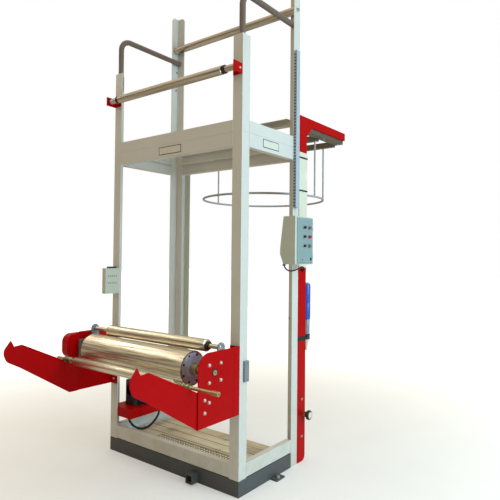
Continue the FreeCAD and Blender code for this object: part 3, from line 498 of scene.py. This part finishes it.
RAIL, LOWER, UPPER = (112, 198), (2267, 2355), (2361, 2438)
beads = [bead(at(x, 0.3, foot), at(x, 0.3, top), (1, 0, 0))
         for x in (-576, 576) for foot, top in (RAIL, LOWER, UPPER)]
beads += [bead(at(side, y, foot), at(side, y, top), (0, 1, 0))
          for side in (-656, 656) for y in (80, 610) for foot, top in (RAIL, LOWER, UPPER)]
joined("frame_welds", beads, beige.material, smooth_below=60)

# Guard tubes
# Round steel tube, sprayed brown, bent over the rollers and welded between the front posts and the
# rear posts.
tube_paint = enamel("tube_enamel", rgb(126, 108, 98), rgb(100, 80, 72), rgb(170, 156, 138), gloss=0.34, wear=0.5)
softened("guard_tubes", 0.001, tube_paint.material)


# Guide roller
# A chromed tube on journals that turn in two folded red brackets bolted to the front posts; a dark
# collar stands at each end.


def roller_steel(name, tint, stain, marks, shine):
    """Turned and chromed steel: fine turning lines round it, long marks that film has rubbed along it, and
    a cloudy bloom of dust."""
    steel = Finish(name)
    turning = steel.grain(700, detail=2, stretch=(1, 0.003, 0.003))
    bloom = steel.grain(7, detail=6)
    rubbed = steel.grain(80, detail=7, stretch=(0.02, 1, 1), rough=0.7).over(0.44, 0.66)
    spots = steel.grain(120, detail=6, rough=0.7).over(0.66, 0.74)
    colour = steel.mix(rubbed * marks, tint, stain)
    colour = steel.mix(spots * 0.5, colour, rgb(96, 78, 52))
    steel.set(Base_Color=colour, Metallic=1.0, Roughness=shine + 0.14 * bloom + 0.14 * rubbed,
              Normal=steel.bump(turning, 0.00003))
    return steel


pale_chrome = roller_steel("pale_chrome", rgb(206, 194, 178), rgb(104, 88, 70), 0.7, 0.13)
guide_centre = at(0, -55, 2762)
joined("guide_roller_turned", [turned([
    (-652, 18), (-650, 21), (-534, 21), (-533, 26), (-531, 29), (531, 29), (533, 26), (534, 21), (650, 21), (652, 18),
], guide_centre)], pale_chrome.material, "guide", replaces=["guide_roller"])
blued = Finish("blued_steel")
rust = blued.grain(60, detail=7).over(0.5, 0.8)
blued.set(Base_Color=blued.mix(rust, rgb(58, 54, 50), rgb(98, 80, 62)), Metallic=0.8, Roughness=0.34 + 0.3 * rust)
collars = [turned([(x - 9, 26), (x - 8, 28), (x + 8, 28), (x + 9, 26)], guide_centre) for x in (-549, 549)]
joined("guide_collars", collars, blued.material, "guide")
red = enamel("signal_red_enamel", rgb(190, 1, 6), rgb(164, 1, 4), rgb(206, 84, 74), gloss=0.3, wear=0.2)
red.set(Specular_IOR_Level=0.08)
softened("guide_blocks", 0.0015, red.material)
fixings = []
for side in (-1, 1):
    fixings += bolt(at(side * 656, -29, 2759), "x", 9, side)
    for x in (601, 631):
        fixings += bolt(at(side * x, -9, 2762), "y", 8, -1)
joined("guide_bracket_bolts", fixings, zinc.material)

# Top roller
# A chromed tube between the tall posts, its journals through their legs and held by collars.
top_centre = at(0, 650, 3402)
joined("top_roller_turned", [turned([
    (-670, 10), (-668, 12), (-643, 12), (-643, 27), (-641, 30), (641, 30), (643, 27), (643, 12), (668, 12), (670, 10),
], top_centre)], pale_chrome.material, "top", replaces=["top_roller"])

# Winder plates and arms
# Plate 8 mm thick, folded on to the columns and sprayed signal red; the arms are bolted inside the
# plates, and their worn top edge is the track that the film roll's shaft climbs.
for node in ("winder_plate_right", "winder_plate_left", "winder_arm_right", "winder_arm_left"):
    softened(node, 0.0016, red.material)
DRUM_AXIS = at(0, -237, 840)
bright = Finish("bright_screws")
glint = bright.grain(220, detail=3)
bright.set(Base_Color=bright.mix(glint, rgb(226, 206, 196), rgb(196, 176, 164)), Metallic=0.75, Roughness=0.3)
screws = []
for side in (-1, 1):
    for y, z in ((-289, 788), (-185, 788), (-289, 892), (-185, 892)):
        screws += bolt(at(side * 656, y, z), "x", 11, side)
    for y, z in ((-327, 693), (-288, 671), (-326, 617)):
        screws += bolt(at(side * 656, y, z), "x", 11, side)
    for z in (570, 680, 820, 930):
        screws += bolt(at(side * 612, -8, z), "y", 10, -1)
joined("plate_screws", screws, bright.material)

# Winding drum
# A steel tube with a chromed face, turned end discs held by eight screws, hubs, and a shaft in flange
# bearings inside the plates; its right end shows in the plate's hole.
drum_chrome = roller_steel("drum_chrome", rgb(240, 230, 208), rgb(108, 94, 70), 0.85, 0.22)
joined("drum_face", [turned([
    (-562, 96), (-562, 108), (-560, 110), (469, 110), (471, 108), (471, 96),
], DRUM_AXIS, sides=128)], drum_chrome.material, "drum", replaces=["winding_drum"])
disc_steel = Finish("disc_steel")
sweep = disc_steel.grain(24, detail=5)
disc_steel.set(Base_Color=disc_steel.mix(sweep, rgb(158, 168, 194), rgb(206, 212, 230)), Metallic=0.45,
               Roughness=0.36 + 0.2 * sweep)
discs = []
for end, out in ((471, 1), (-562, -1)):
    discs += [turned([(end - 6 * out, 97), (end + 0.6 * out, 97), (end + 1.2 * out, 95), (end + 1.2 * out, 52),
                      (end + 3 * out, 50), (end + 3 * out, 30)], DRUM_AXIS, sides=96)]
joined("drum_discs", discs, disc_steel.material, "drum")
hub_steel = roller_steel("hub_steel", rgb(196, 180, 140), rgb(120, 98, 64), 0.5, 0.28)
hubs = [turned([(470, 34), (519, 34), (521, 32), (521, 20.5), (523, 20), (650, 20), (651, 17), (658, 17), (659, 16),
                (659, 5), (655, 3), (655, 1)], DRUM_AXIS),
        turned([(-561, 34), (-590, 34), (-592, 32), (-592, 20), (-654, 20), (-656, 18), (-656, 2)], DRUM_AXIS)]
joined("drum_shaft", hubs, hub_steel.material, "drum")
end_rings = [turned([(out * 652, 24), (out * 656.6, 24), (out * 657.2, 23), (out * 657.2, 17.5)], DRUM_AXIS)
             for out in (1, -1)]
joined("drum_end_rings", end_rings, blued.material, "drum")
folds = [slab(at(side * 655.5, -58, 534), at(side * 656.9, -1, 963), "x", 0.6, 0.5) for side in (-1, 1)]
joined("plate_doublers", folds, red.material)
SCREW_CIRCLE = 0.088
turns = 2 * np.pi * (np.arange(8) + 0.5) / 8
for name, end, out in (("drum_screws_right", 472, 1), ("drum_screws_left", -563, -1)):
    heads = [turned([(0, 7.5), (2.6 * out, 7.5), (3 * out, 7), (3 * out, 4), (0.4 * out, 3.4), (0.4 * out, 1)],
                    DRUM_AXIS + np.array((end / 1000, SCREW_CIRCLE * math.cos(a), SCREW_CIRCLE * math.sin(a))),
                    sides=18) for a in turns]
    joined(name, heads, blued.material, "drum")
iron = Finish("cast_housing")
sand = iron.grain(180, detail=5)
iron.set(Base_Color=iron.mix(sand, rgb(116, 124, 130), rgb(152, 160, 164)), Metallic=0.4, Roughness=0.46,
         Normal=iron.bump(sand, 0.0005))
softened("drum_bearings", 0.002, iron.material)

# Lay-on roller
# A smaller chromed roller that rides above the drum, its journals in cast brackets bolted to the
# plates' top edges.
LAY_ON_AXIS = at(0, -168, 980)
joined("lay_on_turned", [turned([
    (-646, 13), (-645, 15), (-456, 15), (-456, 36), (-454, 39), (526, 39), (528, 36), (528, 15), (645, 15), (646, 13),
], LAY_ON_AXIS, sides=96)], drum_chrome.material, "lay_on", replaces=["lay_on_roller"])
collars = [turned([(x, 24), (x + 2 * out, 26), (x + 16 * out, 26), (x + 18 * out, 24), (x + 18 * out, 15.5)],
                  LAY_ON_AXIS) for x, out in ((529, 1), (-457, -1))]
joined("lay_on_collars", collars, blued.material, "lay_on")
softened("lay_on_brackets", 0.002, iron.material)
joined("lay_on_bracket_bolts", [grid for side in (-1, 1) for y in (-188, -148)
                                for grid in bolt(at(side * 636, y, 935), "x", 8, -side)], zinc.material)

# Winding spindle
# The film roll's shaft: a chromed bar that necks down to a rod at each side, with knurled collars inside
# the arms and a cap on the rod's right end.
SPINDLE_AXIS = (np.array(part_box("winding_spindle")[0]) + np.array(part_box("winding_spindle")[1])) / 2
SPINDLE_AXIS[0] = MIDDLE
joined("spindle_bar", [turned([
    (-512, 10.5), (-511, 11.5), (-492, 29), (-490, 30), (490, 30), (492, 29), (511, 11.5), (512, 10.5),
], SPINDLE_AXIS, sides=64)], drum_chrome.material, "spindle", replaces=["winding_spindle"])
joined("spindle_rod", [
    turned([(-716, 10), (-715, 11), (-508, 11), (-506, 9)], SPINDLE_AXIS),
    turned([(506, 9), (508, 11), (806, 11), (806, 13.5), (807, 14.5), (855, 14.5), (856, 13.5), (856, 7), (851, 6),
            (851, 1)], SPINDLE_AXIS),
], hub_steel.material, "spindle")


def knurled(centre, start, end, radius):
    """A collar whose radius rises and falls by 0.6 mm as cos(30 a + k s) * cos(30 a - k s), a diamond knurl."""
    along = np.concatenate(((start, start + 2), np.linspace(start + 4, end - 4, 25), (end - 2, end)))
    angle = np.linspace(0, 2 * np.pi, 120, endpoint=False)
    depth = np.zeros(len(along))
    depth[2:-2] = 0.6
    phase = along * 0.55
    rise = np.cos(30 * angle + phase[:, None]) * np.cos(30 * angle - phase[:, None])
    base = np.full(len(along), radius)
    base[[0, -1]] -= 2.0
    size = (base[:, None] + depth[:, None] * rise) / 1000
    run = np.repeat(along[:, None] / 1000, len(angle), axis=1)
    return np.stack((run, size * np.cos(angle), size * np.sin(angle)), axis=-1) + centre


olive = roller_steel("collar_steel", rgb(150, 140, 104), rgb(92, 82, 54), 0.6, 0.3)
joined("spindle_collars", [knurled(SPINDLE_AXIS, start, end, 22.2) for start, end in
                           ((541, 590), (-590, -541))], olive.material, "spindle_carriage",
       smooth_below=60, replaces=["spindle_rings"])
joined("spindle_rings_plain", [turned([(s, 15), (s + o, 17), (s + 20 * o, 17), (s + 21 * o, 20), (s + 32 * o, 20),
                                       (s + 33 * o, 17), (s + 42 * o, 17), (s + 42 * o, 12)], SPINDLE_AXIS)
                               for s, o in ((591, 1), (-591, -1))], olive.material, "spindle_carriage")

# Drive guard and motor shelf
# A pressed cover over the drum's chain, and a folded tray between the columns that carries the motor;
# both are sprayed with the winder's red.
for node in ("drive_guard", "motor_shelf"):
    softened(node, 0.0016, red.material)
joined("guard_screws", [grid for y, z in ((-372, 800), (-372, 926), (-176, 800), (-176, 926))
                        for grid in bolt(at(-722, y, z), "x", 6, -1)], zinc.material)

# Drive motor
# A ribbed motor with a fan cowl and a terminal box, cast iron painted black, on a worm gearbox bolted
# down to the shelf.
casting = Finish("black_casting")
orange_peel = casting.grain(260, detail=4)
oil = casting.grain(12, detail=6).over(0.45, 0.7)
casting.set(Base_Color=casting.mix(oil, rgb(30, 31, 33), rgb(54, 50, 44)), Metallic=0.1,
            Roughness=0.36 + 0.25 * orange_peel, Normal=casting.bump(orange_peel, 0.0004))
MOTOR = at(-535, 0, 416)


def ribbed(start, end, radius, depth, ribs, centre):
    """A barrel along y whose radius is r - d * (1 + cos(n a)) / 2, upright cooling ribs."""
    along = np.concatenate(((start, start + 3), np.linspace(start + 6, end - 6, 6), (end - 3, end)))
    ease = np.array([0, 0.6] + [1] * 6 + [0.6, 0])
    angle = np.linspace(0, 2 * np.pi, ribs * 8, endpoint=False)
    size = radius - depth * (1 + np.cos(ribs * angle)) / 2 * ease[:, None] - 2.5 * (1 - ease[:, None])
    run = np.repeat(along[:, None], len(angle), axis=1)
    return np.stack((size * np.sin(angle), run, size * np.cos(angle)), axis=-1) / 1000 + centre


motor = [
    slab(at(-594, 90, 360), at(-476, 208, 545), "z", 16, 5),
    slab(at(-594, 90, 352), at(-476, 208, 364), "z", 6, 1.5),
    turned([(90, 44), (90.5, 47), (93, 48)], at(-535, 0, 470), "y", 48),
    turned([(0, 40), (10, 40), (12, 37), (12, 14)], at(-535, 149, 545), "z", 48),
    turned([(206, 62), (208, 64), (219, 64), (221, 61), (221, 50)], MOTOR, "y", 64),
    ribbed(220, 352, 62, 7, 26, MOTOR),
    turned([(350, 61), (352, 64), (404, 64), (411, 58), (413, 50), (413, 12)], MOTOR, "y", 64),
    slab(at(-571, 248, 416), at(-499, 320, 500), "z", 6, 2),
    slab(at(-573, 246, 500), at(-497, 322, 514), "z", 7, 3),
]
joined("drive_motor_body", motor, casting.material, replaces=["drive_motor"])
joined("motor_bolts", [grid for x in (-584, -486) for y in (100, 198) for grid in bolt(at(x, y, 364), "z", 6)]
       + [grid for x in (-565, -505) for y in (254, 314) for grid in bolt(at(x, y, 514), "z", 3)],
       zinc.material)

# Motor hose
# A black rubber hose over the motor's wires, held by a gland under the shelf and one in the motor's
# terminal side.
rubber = Finish("black_rubber")
chalk = rubber.grain(90, detail=6)
rubber.set(Base_Color=rubber.mix(chalk, rgb(10, 10, 11), rgb(27, 26, 25)), Roughness=0.42 + 0.25 * chalk,
           Normal=rubber.bump(chalk, 0.0002))


def hung(node, route, thick):
    """A cord as one open NURBS curve of order 3 whose control points are its route, in millimetres."""
    curve = bpy.data.curves.new(node + "_run", "CURVE")
    curve.dimensions = "3D"
    curve.bevel_depth = thick / 2000
    curve.bevel_resolution = 5
    curve.resolution_u = 16
    curve.use_fill_caps = True
    spline = curve.splines.new("NURBS")
    spline.points.add(len(route) - 1)
    for knot, place in zip(spline.points, route):
        knot.co = (*at(*place), 1)
    spline.order_u = 3
    spline.use_endpoint_u = True
    curve.materials.append(rubber.material)
    run = bpy.data.objects.new(node + "_run", curve)
    bpy.context.scene.collection.objects.link(run)
    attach(run, "root")
    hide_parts(node)
    return run


glands = Finish("gland_plastic")
mould = glands.grain(300, detail=3)
glands.set(Base_Color=glands.mix(mould, rgb(22, 22, 24), rgb(34, 34, 36)), Roughness=0.38 + 0.2 * mould)
hose_glands = softened("hose_glands", 0.0008, glands.material)
HOSE = [(-500, 42, 331), (-500, 42, 228), (-325, 70, 192), (-205, 125, 345), (-300, 145, 415), (-385, 140, 372),
        (-460, 140, 372)]
hose = hung("motor_hose", HOSE, 16)

# Rear uprights and arms
# Square tubes welded on behind the rear posts, with arms that reach back over the die; the right one
# is sprayed red, the left one beige like the frame.
backs = enamel("upright_enamel", rgb(190, 4, 10), rgb(166, 2, 7), rgb(206, 84, 74), gloss=0.3, wear=0.25)
right_side = backs.axes()[0].over(MIDDLE - 0.2, MIDDLE + 0.2)
# the red coat stays on the right; to the left of the middle it goes over to the frame's beige
sprayed = Wire(backs, backs.shader.inputs["Base Color"].links[0].from_socket)
backs.set(Base_Color=backs.mix(right_side, rgb(214, 212, 200), sprayed), Specular_IOR_Level=0.08)
softened("rear_uprights", 0.0015, backs.material)
softened("rear_arms", 0.0015, red.material)
softened("back_beam", 0.0015, beige.material)

# Bubble guide
# A galvanised ring that steadies the film bubble, hung by rods from two beams, which lie across rails
# bolted under the arms.
# Painted shade: the rails and beams are coloured dark brown grey for the shadow they lie in under the arms.
shaded_rail_paint = enamel("rail_enamel_painted_shade", rgb(112, 102, 86), rgb(76, 68, 56), rgb(176, 160, 128), gloss=0.4, wear=0.6)
for node in ("guide_rails", "guide_beams"):
    softened(node, 0.001, shaded_rail_paint.material)
galvanised = enamel("galvanised_bar", rgb(178, 178, 176), rgb(150, 150, 148), rgb(120, 112, 100), gloss=0.34,
                    wear=0.4)
softened("bubble_guide", 0.001, galvanised.material)
hangers = []
for x in (-535, 535):
    hangers += bolt(at(x, 1130, 2513), "z", 10, -1)
for x in (-606, 606):
    for y in (1150, 1390):
        hangers += bolt(at(x, y, 2528), "z", 8, -1)
joined("guide_nuts", hangers, zinc.material)

# Wiring duct
# Slotted plastic trunking fixed up the rear post, with the wires' slots on its front side and a
# snap-on lid.
trunking = Finish("pale_trunking")
scuff = trunking.grain(60, detail=6)
trunking.set(Base_Color=trunking.mix(scuff, rgb(176, 190, 198), rgb(150, 162, 170)), Roughness=0.45 + 0.2 * scuff)
softened("wiring_duct", 0.001, trunking.material)
# Painted shade: thin dark slabs stand in for the shade inside the duct's slots, the gaps round the box door and the
# junction box's vents.
dark = Finish("slot_shadow")
shadow_mottle = dark.grain(200, detail=3)
dark.set(Base_Color=dark.mix(shadow_mottle, rgb(34, 38, 42), rgb(50, 54, 58)), Roughness=0.8)
# the slots: painted shade
joined("duct_slots", [slab(at(660, 609.7, z), at(676, 611, z + 9), "y", 2, 0.2) for z in range(1918, 3066, 23)],
       dark.material)
joined("duct_lid", [slab(at(681, 608.6, 1906), at(683.4, 653.4, 3080), "x", 1.5, 1)], trunking.material)

# Cover panel
# A cream plastic cover strapped to the right upright's side, above the control box, and a strap round
# the upright at the air filter.
cream = Finish("cream_cover")
yellowed = cream.grain(11, detail=5)
cream.set(Base_Color=cream.mix(yellowed, rgb(226, 222, 206), rgb(206, 198, 174)), Roughness=0.42 + 0.15 * yellowed)
joined("cover_panel", [slab(at(655, 690.5, 1462), at(662, 802.5, 2338), "x", 4, 2.5)], cream.material)
straps = [slab(at(655, 688.5, z), at(664, 804.5, z + 12), "x", 3, 1) for z in (1540, 1790, 2040, 2290)]
straps += [slab(at(655, 688.5, 908), at(658.5, 804.5, 942), "x", 2, 1)]
joined("cover_straps", straps, rubber.material)
joined("upright_clips", [slab(at(655, 742, z), at(660, 766, z + 16), "x", 3, 1) for z in (182, 460)],
       zinc.material)

# Control box
# A steel box sprayed pale grey green, with a door on its right face and six switches set in the door.
box_paint = enamel("box_enamel", rgb(204, 206, 190), rgb(186, 188, 172), rgb(140, 132, 108), gloss=0.36, wear=0.4)
softened("control_box", 0.0025, box_paint.material)
door_paint = enamel("door_enamel", rgb(146, 166, 164), rgb(122, 146, 146), rgb(168, 174, 164), gloss=0.36, wear=0.6)
joined("box_door", [slab(at(783, 470, 1500), at(784.6, 683, 1823), "x", 3, 0.8)], door_paint.material)
# the gaps round the door: painted shade
seams = [slab(at(783, 468, 1498), at(784.9, 471, 1824), "x", 0.8, 0.1),
         slab(at(783, 468, 1497), at(784.9, 684, 1500), "x", 0.8, 0.1)]
joined("box_seams", seams, dark.material)
keyhole = turned([(783, 12), (785.5, 12), (787, 10.5), (787, 6), (785.2, 5), (785.2, 1)], at(0, 657, 1528), "x", 32)
stop = turned([(783, 5), (785, 5), (785.6, 4), (785.6, 1)], at(0, 540, 1524), "x", 24)
joined("box_lock", [keyhole, stop], glands.material)
hinges = [turned([(0, 4.4), (1, 5), (48, 5), (49, 4.4)], at(781, 686, foot), "z", 20) for foot in (1741, 1531)]
joined("box_hinges", hinges, zinc.material)


def bezel(y, z, cap):
    """A switch's rim on the door, 2.5 mm wider all round than the cap's radius."""
    profile = [(784, cap + 2.5), (786.5, cap + 2.5), (788, cap + 1.5), (788, cap - 1), (787, cap - 2)]
    return turned(profile, at(0, y, z), "x", 36)


def grip(y, z, cap):
    """A switch's cap of a given radius, which waists by 1.5 mm behind its rim."""
    profile = [(787, cap - 2), (790, cap - 1.5), (795, cap - 1.5), (797, cap), (800.5, cap), (802, cap - 1.4),
               (802, cap * 0.4)]
    return turned(profile, at(0, y, z), "x", 36)


ROWS = (1755, 1689, 1623)
SMALL, LARGE = (562, 9.5), (630, 11.8)
joined("switch_bezels", [bezel(y, z, cap) for y, cap in (SMALL, LARGE) for z in ROWS],
       zinc.material, replaces=["control_knobs"])
joined("switch_caps", [grip(SMALL[0], z, SMALL[1]) for z in ROWS], glands.material)
tan_plastic = Finish("tan_cap")
mould = tan_plastic.grain(140, detail=4)
tan_plastic.set(Base_Color=tan_plastic.mix(mould, rgb(158, 118, 104), rgb(122, 88, 78)), Roughness=0.4)
joined("switch_caps_tan", [grip(LARGE[0], z, LARGE[1]) for z in (ROWS[0], ROWS[2])],
       tan_plastic.material)
red_plastic = Finish("red_cap")
mould = red_plastic.grain(140, detail=4)
red_plastic.set(Base_Color=red_plastic.mix(mould, rgb(196, 30, 28), rgb(160, 18, 18)), Roughness=0.34)
joined("switch_cap_red", [grip(LARGE[0], ROWS[1], LARGE[1])], red_plastic.material)

# Box cable
# A thin black rubber cable that hangs from a gland at the box's foot to a second gland on the red
# upright.
cable_glands = softened("cable_glands", 0.0008, glands.material)
CABLE = [(684, 462, 1474.5), (685, 490, 1441), (688, 600, 1441), (702, 700, 1482), (672, 742, 1446)]
cable = hung("box_cable", CABLE, 10)

# Junction box
# A narrow steel box screwed to the front left column, with two rows of vents in its right side and a
# black clip on top.
softened("junction_box", 0.002, box_paint.material)
# the vents: painted shade
vents = [slab(at(-576.6, y, z), at(-575.6, y + 9, z + 4), "x", 1.2, 0.2)
         for z in (1382, 1374, 1328, 1320) for y in (-106, -88, -70, -52, -34)]
joined("junction_vents", vents, dark.material)
joined("junction_clip", [slab(at(-606, -96, 1441), at(-584, -20, 1453), "y", 3, 1)], glands.material)

# Air filter
# An air filter on a bracket behind the red upright: a blue head under a grey dome, a grey bowl, a black
# clamp and a pale drain cone.
FILTER = at(625, 863, 0)
blue = enamel("filter_blue", rgb(52, 96, 196), rgb(36, 72, 164), rgb(120, 140, 170), gloss=0.3, wear=0.3)
joined("filter_head", [turned([(1060, 20), (1060, 30), (1063, 32), (1180, 32), (1183, 30.5), (1189, 30.5), (1192, 32),
                               (1325, 32), (1331, 30), (1333, 27)], FILTER, "z", 48),
                       slab(at(614, 802, 1258), at(636, 838, 1282), "y", 3, 1.5)],
       blue.material, replaces=["air_filter"])
smoke = Finish("smoked_bowl")
haze = smoke.grain(18, detail=5)
smoke.set(Base_Color=smoke.mix(haze, rgb(150, 158, 164), rgb(112, 120, 128)), Roughness=0.2 + 0.2 * haze)
joined("filter_bowl", [turned([(944, 20), (944, 26), (946, 27), (1056, 27), (1060, 25), (1060, 20)], FILTER, "z", 48),
                       turned([(1332, 28), (1336, 28), (1342, 22), (1345, 12), (1345, 3)], FILTER, "z", 48)],
       smoke.material)
joined("filter_clamp", [turned([(905, 24), (905, 29), (907, 30), (915, 30), (917, 28.5), (933, 28.5), (935, 30),
                                (943, 30), (945, 29), (945, 24)], FILTER, "z", 48)], glands.material)
joined("filter_cone", [turned([(820, 3), (820, 6), (824, 9), (862, 14), (893, 25), (903, 26), (905, 25), (905, 12)],
                              FILTER, "z", 48)], cream.material)

# Pressure valve
# A turned brass valve screwed into the right upright, with a ribbed black hand wheel, its face a
# cream disc.
VALVE = at(0, 769, 355)
brass = Finish("valve_brass")
dull = brass.grain(80, detail=6)
brass.set(Base_Color=brass.mix(dull, rgb(206, 176, 108), rgb(140, 108, 62)), Metallic=0.9,
          Roughness=0.28 + 0.3 * dull)
joined("valve_body", [turned([(655, 17), (662, 17), (663, 15), (672, 15)], VALVE, "x", 6),
                      turned([(671, 19), (672, 20), (690, 20), (694, 14), (702, 14)], VALVE, "x", 48)],
       brass.material, replaces=["pressure_valve"])


def ribbed_wheel(stations, ribs, depth, centre):
    """A hand wheel along x: the rim at angle a of a station (s, r, on) has the radius r + d cos(n a) where on
    is 1, and plain r where it is 0."""
    along, radius, on = np.array(stations, float).T
    angle = np.linspace(0, 2 * np.pi, ribs * 4, endpoint=False)
    size = radius[:, None] + depth * np.cos(ribs * angle) * on[:, None]
    run = np.repeat(along[:, None], len(angle), axis=1)
    return np.stack((run, size * np.cos(angle), size * np.sin(angle)), axis=-1) / 1000 + centre


wheel = ribbed_wheel([(700, 30, 0), (702, 33.5, 1), (705, 34.5, 1), (718, 34.5, 1), (722, 32.5, 1), (724, 28, 0)],
                     36, 0.5, VALVE)
joined("valve_wheel", [wheel], glands.material)
joined("valve_face", [turned([(723, 25), (724.6, 25), (725.2, 24), (725.2, 1)], VALVE, "x", 48)],
       cream.material)

# Column latch
# A cast latch held by two screws on the front right column's side, for a guard gate that isn't
# fitted.
softened("column_latch", 0.0012, iron.material)
joined("latch_screws", [grid for z in (746, 852) for grid in bolt(at(668, 58, z), "x", 5)],
       blued.material)
